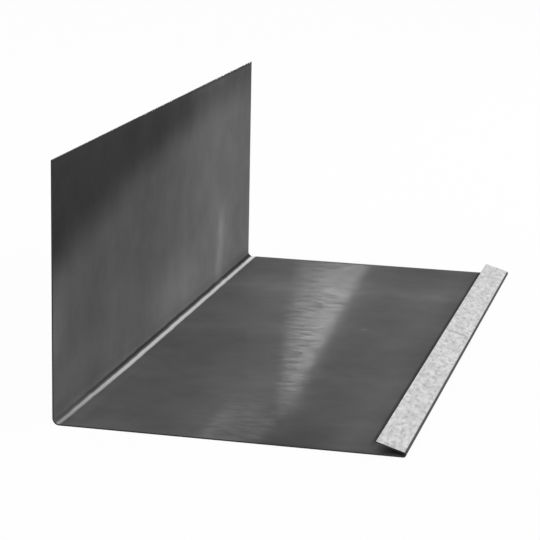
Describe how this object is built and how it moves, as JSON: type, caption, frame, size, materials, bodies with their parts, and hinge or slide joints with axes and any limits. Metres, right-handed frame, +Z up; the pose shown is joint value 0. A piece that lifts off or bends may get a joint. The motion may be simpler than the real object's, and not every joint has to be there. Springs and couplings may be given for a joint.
{
  "type": "angle flashing",
  "caption": "Angle flashing folded from one metal sheet: tall upstand, rounded bend, flat base, and a slightly open water fold along the free edge.",
  "frame": {"origin": "middle of the base's underside, at the centre of the overall box", "axes": "+Z up, +X across the base from the upstand to the water fold, +Y along the length"},
  "size_m": [0.18, 0.4, 0.135],
  "materials": {
    "sheet": "dark satin face with fine rolling grain, light mottled reverse"
  },
  "bodies": {
    "root": {"flashing_sheet": "sheet"}
  },
  "joints": []
}
